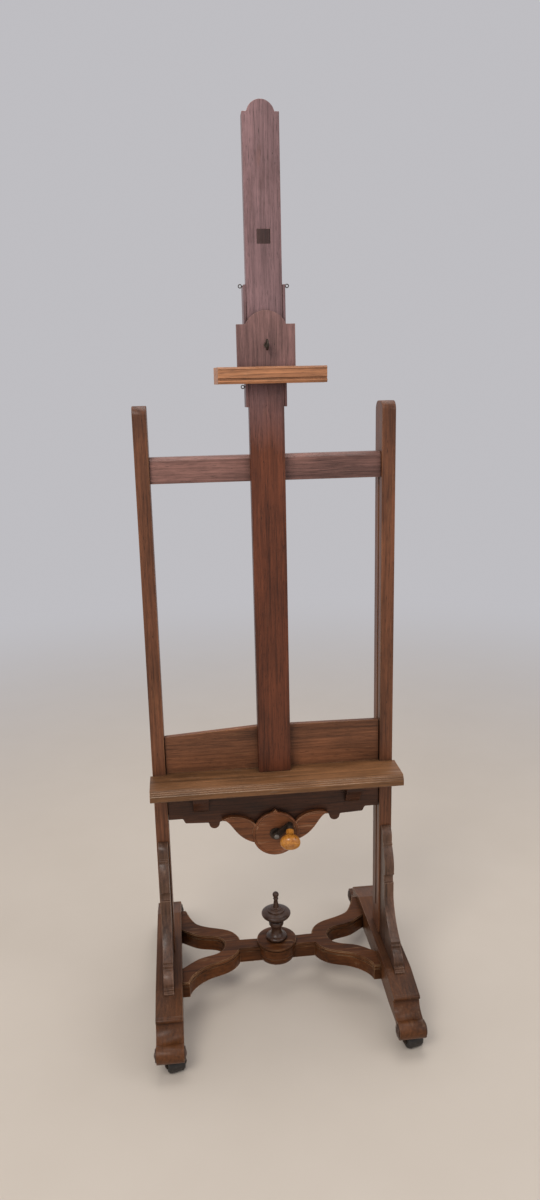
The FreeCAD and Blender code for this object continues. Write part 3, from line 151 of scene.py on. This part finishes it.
GRAIN_TURN = {"x": (0, math.radians(90), 0), "y": (math.radians(90), 0, 0), "z": (0, 0, 0)}
SEED_STEP = (0.37, 0.53, 0.71)  # metres between the places in the wood that two seeds show
RINGS_PER_METRE = 120.0
RING_WEIGHT, RING_MEAN = 0.08, 0.4
NOISE_MEAN = 0.5
DUST = (0.25, 0.16, 0.11)
RUST = (0.085, 0.034, 0.014)
HANDLE_LEAN, HANDLE_DROOP = math.radians(6.1), math.radians(35)  # as in the CAD


def scaled(tone, share):
    return tuple(share * channel for channel in tone)


def walnut(name, grain, seed, tone, worn, rough=0.42, wear_and_highlight=0.5, dust=0.0, coat=0.05, shine=0.3,
           stains=0.35, dust_and_sheen_above=None, reeded=False, arris=0.0035):
    """Old waxed walnut round one tone: rings, streaks and pores along the grain, worn edges with
    a painted highlight.

    worn is the colour of worn wood on scuffs and edges; on the edges it is partly a painted
    highlight. wear, dust and stains are the strengths of the worn edges and scuffs, of dust on
    upward faces and of dark handling marks. dust_and_sheen_above is (height, colour): above that
    height the wood turns paler and greyer, partly dust and partly a painted sheen. reeded paints
    shade into narrow grooves, and arris is how far the worn edges reach in from an edge.
    """
    t = Tree(name)
    along = t.space(turn=GRAIN_TURN[grain], shift=scaled(SEED_STEP, seed))

    def pattern(stretch, detail, coarse, distort=0.0, shift=(0, 0, 0)):
        """Noise drawn out along the grain, with stretch as its scale across and along."""
        across, lengthwise = stretch
        space = t.space(scale=(across, across, lengthwise), shift=shift, source=along)
        return t.noise(space, 1.0, detail, coarse, distort)

    # the figure: growth rings cut at a slant, then ever finer streaks
    sway = pattern((6, 1.4), 3.0, 0.6)
    ring_space = t.space(scale=(1, 0.55, 0.03), shift=(0.11 + 0.017 * (seed % 5), 0.05, 0),
                         source=along)
    radius = t.math("ADD", t.length(ring_space), t.math("MULTIPLY", sway, 0.055))
    ring = t.ramp(t.math("FRACT", t.math("MULTIPLY", radius, RINGS_PER_METRE)),
                  [(0.0, 0.7), (0.5, 0.5), (0.86, 0.1), (0.93, 0.0), (1.0, 0.7)])
    broad = pattern((10, 1.2), 4.0, 0.6, 0.5)
    streak = pattern((150, 3.2), 5.0, 0.65)
    fibre = pattern((820, 16), 4.0, 0.65)
    blotch = pattern((16, 6), 4.0, 0.62)
    weights = (0.50, 0.40, 0.36, 0.26)
    shade = t.total((ring, RING_WEIGHT), *zip((broad, streak, fibre, blotch), weights))
    middle = NOISE_MEAN * sum(weights) + RING_MEAN * RING_WEIGHT
    dark, light = scaled(tone, 0.30), tuple(min(channel, 0.9) for channel in scaled(tone, 1.75))
    colour = t.ramp(shade, [(middle - 0.17, dark), (middle - 0.01, tone), (middle + 0.16, light)])
    # above a height: paler and greyer wood, partly dust and partly a painted sheen
    if dust_and_sheen_above is not None:
        start, pale = dust_and_sheen_above
        grey_dust_and_sheen = t.ramp(shade, [(middle - 0.17, scaled(pale, 0.5)), (middle, pale),
                               (middle + 0.17, scaled(pale, 1.5))])
        rise = t.math("ADD", t.height(t.object_space), t.math("MULTIPLY", sway, 0.25))
        rise = t.math("MULTIPLY", t.math("SUBTRACT", rise, start + 0.12), 4.5, True)
        colour = t.mix(rise, colour, grey_dust_and_sheen)
    pores = t.ramp(pattern((1500, 40), 2.0, 0.5), [(0.28, 0.0), (0.40, 1.0)])
    colour = t.mix(t.math("SUBTRACT", 1.0, pores, True), colour, scaled(dark, 0.45))

    # age: stains, nicks, worn edges with a painted highlight, painted shade in corners, and dust
    stain = t.ramp(pattern((9, 3.5), 6.0, 0.7, shift=(4.1, 2.3, 0.7)), [(0.50, 0.0), (0.66, 1.0)])
    colour = t.mix(t.math("MULTIPLY", stain, stains), colour, scaled(tone, 0.34))
    nicks = t.ramp(pattern((240, 70), 2.0, 0.5), [(0.735, 0.0), (0.765, 1.0)])
    colour = t.mix(t.math("MULTIPLY", nicks, 0.8), colour, scaled(tone, 0.12))
    # the worn colour laid along the edges is partly real rubbing and partly a painted highlight
    patchy = t.ramp(blotch, [(0.40, 0.05), (0.60, 1.0)])
    edge = t.math("MULTIPLY", t.edges(arris, 0.80, 0.985), patchy)
    rubbed_and_highlit = t.math("MULTIPLY", edge, wear_and_highlight, True)
    scuff = t.ramp(pattern((60, 9), 5.0, 0.7), [(0.60, 0.0), (0.72, 0.6)])
    scuffed = t.math("MULTIPLY", t.math("MULTIPLY", scuff, wear_and_highlight), 0.45)
    colour = t.mix(t.math("MAXIMUM", rubbed_and_highlit, scuffed), colour, worn)
    # painted shade: darker deep in corners and between parts
    corner_shade = t.corner_shade(0.035, 0.10, 0.72)
    colour = t.mix(t.math("MULTIPLY", corner_shade, 0.85), colour, scaled(tone, 0.16))
    if reeded:
        # painted shade in the narrow grooves of the beads
        groove = t.corner_shade(0.004, 0.30, 0.80)
        colour = t.mix(t.math("MULTIPLY", groove, 0.85), colour, scaled(tone, 0.10))
    normal = t.nodes.new("ShaderNodeNewGeometry").outputs["Normal"]
    upward = t.math("MULTIPLY", t.math("MAXIMUM", t.height(normal), 0.0), dust)
    dusty = t.math("MULTIPLY", upward, t.ramp(blotch, [(0.35, 0.1), (0.75, 1.0)]), True)
    t.put("Base Color", t.mix(dusty, colour, DUST))

    gloss = t.math("ADD", rough - 0.10, t.math("MULTIPLY", blotch, 0.20))
    gloss = t.math("ADD", gloss, t.math("MULTIPLY", dusty, 0.3))
    t.put("Roughness", t.math("ADD", gloss, t.math("MULTIPLY", corner_shade, 0.25), True))
    relief = t.bump(t.total((fibre, 0.45), (pores, 0.5), (streak, 0.4)), 0.00025, 0.8)
    t.put("Normal", t.bump(pattern((38, 16), 4.0, 0.6), 0.0014, 0.6, relief))
    t.put("Specular IOR Level", shine)
    t.put("Coat Weight", coat)
    t.put("Coat Roughness", 0.30)
    return t.material


def iron(name, base, worn):
    """Blackened iron with worn edges, pitting, a little rust and painted shade in corners."""
    t = Tree(name)
    mottle = t.noise(t.object_space, 160.0, 4.0, 0.6)
    fine = t.noise(t.object_space, 900.0, 3.0, 0.6)
    colour = t.mix(t.ramp(mottle, [(0.35, 0.0), (0.7, 1.0)]), base, scaled(base, 1.7))
    rusty = t.ramp(mottle, [(0.52, 0.0), (0.68, 1.0)])
    colour = t.mix(t.math("MULTIPLY", rusty, 0.3), colour, RUST)
    edge = t.math("MULTIPLY", t.edges(0.0012, 0.82, 0.985), 0.5)
    edge = t.math("MULTIPLY", edge, t.ramp(fine, [(0.3, 0.3), (0.6, 1.0)]), True)
    colour = t.mix(edge, colour, worn)
    # painted shade in corners
    corner_shade = t.math("MULTIPLY", t.corner_shade(0.008, 0.15, 0.6), 0.7)
    t.put("Base Color", t.mix(corner_shade, colour, scaled(base, 0.4)))
    t.put("Metallic", 0.85)
    t.put("Roughness", t.math("ADD", 0.38, t.math("MULTIPLY", mottle, 0.25)))
    t.put("Normal", t.bump(t.total((mottle, 0.6), (fine, 0.4)), 0.0003, 0.7))
    return t.material


def boxwood(name):
    """Polished yellow boxwood turned on a lathe, with fine rings round the handle's axis."""
    t = Tree(name)
    straight = t.space(turn=(0, 0, HANDLE_LEAN))
    centred = t.space(turn=(-HANDLE_DROOP, 0, 0), source=straight)
    grain = t.noise(t.space(scale=(260, 14, 260), source=centred), 1.0, 4.0, 0.6)
    warm = t.noise(t.space(scale=(60, 18, 60), source=centred), 1.0, 3.0, 0.6)
    lathe = t.noise(t.space(scale=(2, 900, 2), source=centred), 1.0, 2.0, 0.5)
    colour = t.ramp(t.total((grain, 0.55), (warm, 0.5), (lathe, 0.18)),
                    [(0.40, (0.25, 0.075, 0.009)), (0.60, (0.54, 0.205, 0.028)),
                     (0.84, (0.80, 0.37, 0.065))])
    # painted shade in corners
    corner_shade = t.math("MULTIPLY", t.corner_shade(0.008, 0.2, 0.75), 0.75)
    t.put("Base Color", t.mix(corner_shade, colour, (0.12, 0.04, 0.01)))
    t.put("Roughness", t.math("ADD", 0.2, t.math("MULTIPLY", warm, 0.16)))
    t.put("Normal", t.bump(t.total((lathe, 0.5), (grain, 0.3)), 0.00018, 0.7))
    t.put("Coat Weight", 0.35)
    t.put("Coat Roughness", 0.16)
    return t.material


def metal(name, base, deep):
    """Machined metal with fine turning marks, darker handling in patches and painted shade in
    corners.
    """
    t = Tree(name)
    mottle = t.noise(t.object_space, 90.0, 3.0, 0.6)
    fine = t.noise(t.object_space, 1400.0, 2.0, 0.5)
    colour = t.mix(t.ramp(mottle, [(0.38, 1.0), (0.66, 0.0)]), base, deep)
    # painted shade in corners
    corner_shade = t.math("MULTIPLY", t.corner_shade(0.006, 0.15, 0.7), 0.8)
    t.put("Base Color", t.mix(corner_shade, colour, (0.02, 0.014, 0.008)))
    t.put("Metallic", 1.0)
    t.put("Roughness", t.math("ADD", 0.24, t.math("MULTIPLY", mottle, 0.22)))
    t.put("Normal", t.bump(fine, 0.0001, 0.5))
    return t.material


def composition(name):
    """Dark hard caster wheel, scuffed grey in patches."""
    t = Tree(name)
    mottle = t.noise(t.object_space, 120.0, 4.0, 0.6)
    fine = t.noise(t.object_space, 700.0, 3.0, 0.6)
    scuffs = t.math("MULTIPLY", t.ramp(mottle, [(0.5, 0.0), (0.72, 1.0)]), 0.5)
    t.put("Base Color", t.mix(scuffs, (0.016, 0.013, 0.011), (0.075, 0.065, 0.055)))
    t.put("Roughness", t.math("ADD", 0.38, t.math("MULTIPLY", mottle, 0.3)))
    t.put("Normal", t.bump(fine, 0.0003, 0.6))
    return t.material


# --------------------------------------------------------------------------------------
# Materials
# --------------------------------------------------------------------------------------
# worn tones, laid on scuffs and edges; on the edges they are partly painted highlights
PALE = (0.38, 0.23, 0.15)
HONEY = (0.52, 0.27, 0.11)
REDDISH = (0.34, 0.14, 0.065)
CHALKY = (0.66, 0.47, 0.32)

WOODS = {
    # the mast's top: paler and greyer, partly dust and partly a painted sheen
    "mast": walnut("walnut_mast", "z", 1.0, (0.108, 0.030, 0.012), REDDISH, stains=0.45,
                   dust_and_sheen_above=(1.40, (0.208, 0.119, 0.119))),
    "post": walnut("walnut_post", "z", 2.0, (0.132, 0.048, 0.021), HONEY, wear_and_highlight=0.55),
    "bar": walnut("walnut_bar", "x", 3.0, (0.206, 0.101, 0.080), PALE),
    "panel": walnut("walnut_panel", "x", 4.0, (0.166, 0.064, 0.028), HONEY),
    # tray, shelf, carving, bracket and stretcher: their worn tones at full strength are partly
    # painted highlights along edges and beads
    "tray": walnut("walnut_tray", "x", 5.0, (0.176, 0.079, 0.031), CHALKY, wear_and_highlight=1.0, dust=0.03,
                   reeded=True, arris=0.0020),
    "honey": walnut("walnut_honey", "x", 6.0, (0.405, 0.176, 0.081), (0.66, 0.42, 0.25),
                    wear_and_highlight=1.0, rough=0.38, stains=0.12, reeded=True, arris=0.0020),
    "apron": walnut("walnut_apron", "x", 7.0, (0.070, 0.024, 0.010), REDDISH),
    "carved": walnut("walnut_carved", "x", 8.0, (0.168, 0.056, 0.019), (0.62, 0.36, 0.20),
                     wear_and_highlight=1.0, arris=0.0024, reeded=True),
    "plate": walnut("walnut_plate", "z", 9.0, (0.192, 0.100, 0.089), PALE),
    "foot": walnut("walnut_foot", "y", 10.0, (0.084, 0.030, 0.010), (0.34, 0.22, 0.14),
                   wear_and_highlight=0.8, rough=0.38, shine=0.22, coat=0.03, stains=0.6, arris=0.0026),
    "bracket": walnut("walnut_bracket", "z", 11.0, (0.100, 0.050, 0.030), PALE, wear_and_highlight=1.0,
                      rough=0.36, coat=0.10, stains=0.6),
    "stretcher": walnut("walnut_stretcher", "x", 12.0, (0.090, 0.029, 0.008),
                        (0.50, 0.29, 0.15), wear_and_highlight=1.0, rough=0.42, shine=0.14, coat=0.02,
                        stains=0.5, reeded=True, arris=0.0026),
    "turned": walnut("walnut_turned", "z", 13.0, (0.050, 0.023, 0.013), (0.24, 0.14, 0.09),
                     rough=0.30, coat=0.2, arris=0.0022),
}
METALS = {
    "iron": iron("blackened_iron", (0.046, 0.034, 0.026), (0.30, 0.24, 0.19)),
    "steel": metal("machined_steel", (0.36, 0.35, 0.34), (0.15, 0.14, 0.13)),
    "brass": metal("aged_brass", (0.50, 0.33, 0.12), (0.20, 0.12, 0.05)),
}
EBONY = walnut("ebony_inlay", "z", 14.0, (0.050, 0.025, 0.021), (0.10, 0.07, 0.06))
ROLLING = composition("caster_composition")

FINISH = {
    "mast": WOODS["mast"], "mast_key": WOODS["post"], "mast_patch": EBONY,
    "crossbar": WOODS["bar"], "backboard": WOODS["panel"], "tray": WOODS["tray"],
    "apron": WOODS["apron"], "cartouche": WOODS["carved"],
    "clamp_plate": WOODS["plate"], "clamp_shelf": WOODS["honey"], "clamp_back": WOODS["mast"],
    "scroll_bosses": WOODS["turned"], "finial": WOODS["turned"],
    "stretcher_boss": WOODS["stretcher"],
    "handle": boxwood("turned_boxwood"),
    "cross_shaft": METALS["steel"], "crank_shaft": METALS["steel"], "worm": METALS["steel"],
    "worm_wheel": METALS["brass"], "crank_bush": METALS["iron"], "clamp_nut": METALS["brass"],
    "clamp_shoe": METALS["brass"], "gear_yoke": METALS["iron"], "crank_arm": METALS["iron"],
    "handle_spindle": METALS["iron"], "handle_ferrule": METALS["iron"],
    "thumbscrew": METALS["iron"], "screw_eyes": METALS["iron"], "caster_plates": METALS["iron"],
}
PAIRS = {
    "foot": WOODS["foot"], "post": WOODS["post"], "stretcher": WOODS["stretcher"],
    "corbel": WOODS["apron"], "guide": WOODS["post"], "rack": METALS["iron"],
    "pinion": METALS["steel"], "hanger": METALS["iron"], "cheek": WOODS["mast"],
    "bracket": WOODS["bracket"],
}
for side in ("left", "right"):
    for part, finish in PAIRS.items():
        FINISH[f"{side}_{part}"] = finish
    for end in ("front", "rear"):
        FINISH[f"{end}_{side}_fork"] = METALS["iron"]
        FINISH[f"{end}_{side}_wheel"] = ROLLING
for node, obj in NODES.items():
    obj.data.materials.clear()
    obj.data.materials.append(FINISH[node])

# --------------------------------------------------------------------------------------
# Eased arrises: the joiner's boards have no knife-sharp edges
# --------------------------------------------------------------------------------------
SAME_POINT = 1e-6               # metres within which two corners of the mesh are one
FLAT = math.radians(0.5)        # faces nearer than this to one plane are joined
SHARP = math.radians(32)        # edges that bend more than this are eased
EASED = {                       # width of each eased edge in metres
    "mast": 0.0014, "crossbar": 0.0014, "backboard": 0.0014, "tray": 0.0008, "apron": 0.0010,
    "cartouche": 0.0010, "clamp_plate": 0.0014, "clamp_shelf": 0.0008, "clamp_back": 0.0012,
    "crank_arm": 0.0006,
}
for side in ("left", "right"):
    EASED.update({
        f"{side}_post": 0.0016, f"{side}_foot": 0.0014, f"{side}_bracket": 0.0010,
        f"{side}_stretcher": 0.0007, f"{side}_corbel": 0.0010, f"{side}_cheek": 0.0010,
        f"{side}_guide": 0.0010,
    })
for node, width in EASED.items():
    board = NODES[node]
    board.modifiers.new("weld", "WELD").merge_threshold = SAME_POINT
    flatten = board.modifiers.new("flatten", "DECIMATE")
    flatten.decimate_type = "DISSOLVE"
    flatten.angle_limit = FLAT
    ease = board.modifiers.new("ease", "BEVEL")
    ease.limit_method = "ANGLE"
    ease.angle_limit = SHARP
    ease.width = width
    ease.segments = 2
    ease.harden_normals = True

# --------------------------------------------------------------------------------------
# Floor, light and camera
# --------------------------------------------------------------------------------------
SKY, SKY_LIGHT = (0.81, 0.80, 0.84, 1), 0.64
FLOOR_RADIUS = 40
FADE_FROM, FADE_TO = 0.9, 4.5   # distances over which the floor turns into the backdrop


def pale_floor():
    """A pale studio floor that fades into the backdrop's light away from the easel."""
    t = Tree("pale_floor")
    mottle = t.noise(t.object_space, 3.0, 3.0, 0.6)
    t.put("Base Color", t.ramp(mottle, [(0.3, (0.58, 0.51, 0.43)), (0.7, (0.60, 0.53, 0.45))]))
    t.put("Roughness", 0.75)
    glow = t.nodes.new("ShaderNodeEmission")
    glow.inputs["Color"].default_value = SKY
    glow.inputs["Strength"].default_value = SKY_LIGHT
    away = t.nodes.new("ShaderNodeMapRange")
    away.interpolation_type = "SMOOTHSTEP"
    away.inputs["From Min"].default_value = FADE_FROM
    away.inputs["From Max"].default_value = FADE_TO
    t.feed(away.inputs["Value"], t.length(t.object_space))
    blend = t.nodes.new("ShaderNodeMixShader")
    t.feed(blend.inputs[0], away.outputs["Result"])
    t.feed(blend.inputs[1], t.shader.outputs["BSDF"])
    t.feed(blend.inputs[2], glow.outputs["Emission"])
    t.feed(t.nodes["Material Output"].inputs["Surface"], blend.outputs["Shader"])
    return t.material


bpy.ops.mesh.primitive_circle_add(vertices=96, radius=FLOOR_RADIUS, fill_type="NGON",
                                  location=(0, 0, 0))
ground = bpy.context.object
ground.name = "floor"
ground.data.materials.append(pale_floor())

world = bpy.data.worlds.new("studio")
world.use_nodes = True
backdrop = world.node_tree.nodes["Background"]
backdrop.inputs["Color"].default_value = SKY
backdrop.inputs["Strength"].default_value = SKY_LIGHT
bpy.context.scene.world = world
bpy.context.scene.view_settings.view_transform = "Standard"


def lamp(name, place, target, size, power, colour):
    """A square soft light aimed at a point; size is its side in metres and power is in watts."""
    light = bpy.data.lights.new(name, "AREA")
    light.shape = "SQUARE"
    light.size = size
    light.energy = power
    light.color = colour
    obj = bpy.data.objects.new(name, light)
    bpy.context.scene.collection.objects.link(obj)
    obj.location = place
    obj.rotation_mode = "QUATERNION"
    obj.rotation_quaternion = (Vector(target) - Vector(place)).to_track_quat("-Z", "Y")


lamp("key", (-1.6, -2.6, 3.4), (0, 0, 0.9), 1.6, 68, (1.0, 0.965, 0.92))
lamp("fill", (2.6, -1.6, 2.4), (0, 0, 0.8), 2.0, 20, (0.95, 0.97, 1.0))
lamp("overhead", (0.2, 0.6, 3.8), (0, 0, 0.6), 2.2, 40, (1.0, 0.98, 0.96))

# the photograph's view, worked out from the easel's straight lines: turned to the right of +Y,
# looking down, and tilted, in radians
EYE = (-0.2070, -1.9473, 1.5140)
YAW, PITCH, ROLL = 0.10625, 0.23399, -0.02285
SENSOR, LENS = 36, 25.48        # millimetres
forward = Vector((math.sin(YAW) * math.cos(PITCH), math.cos(YAW) * math.cos(PITCH),
                  -math.sin(PITCH)))
level = Vector((math.cos(YAW), -math.sin(YAW), 0))
upright = level.cross(forward)
right = math.cos(ROLL) * level + math.sin(ROLL) * upright
up = -math.sin(ROLL) * level + math.cos(ROLL) * upright
camera = bpy.data.objects.new("camera", bpy.data.cameras.new("camera"))
bpy.context.scene.collection.objects.link(camera)
facing = Matrix((right, up, -forward)).transposed().to_4x4()
camera.matrix_world = Matrix.Translation(EYE) @ facing
camera.data.sensor_width = SENSOR
camera.data.lens = LENS
bpy.context.scene.camera = camera
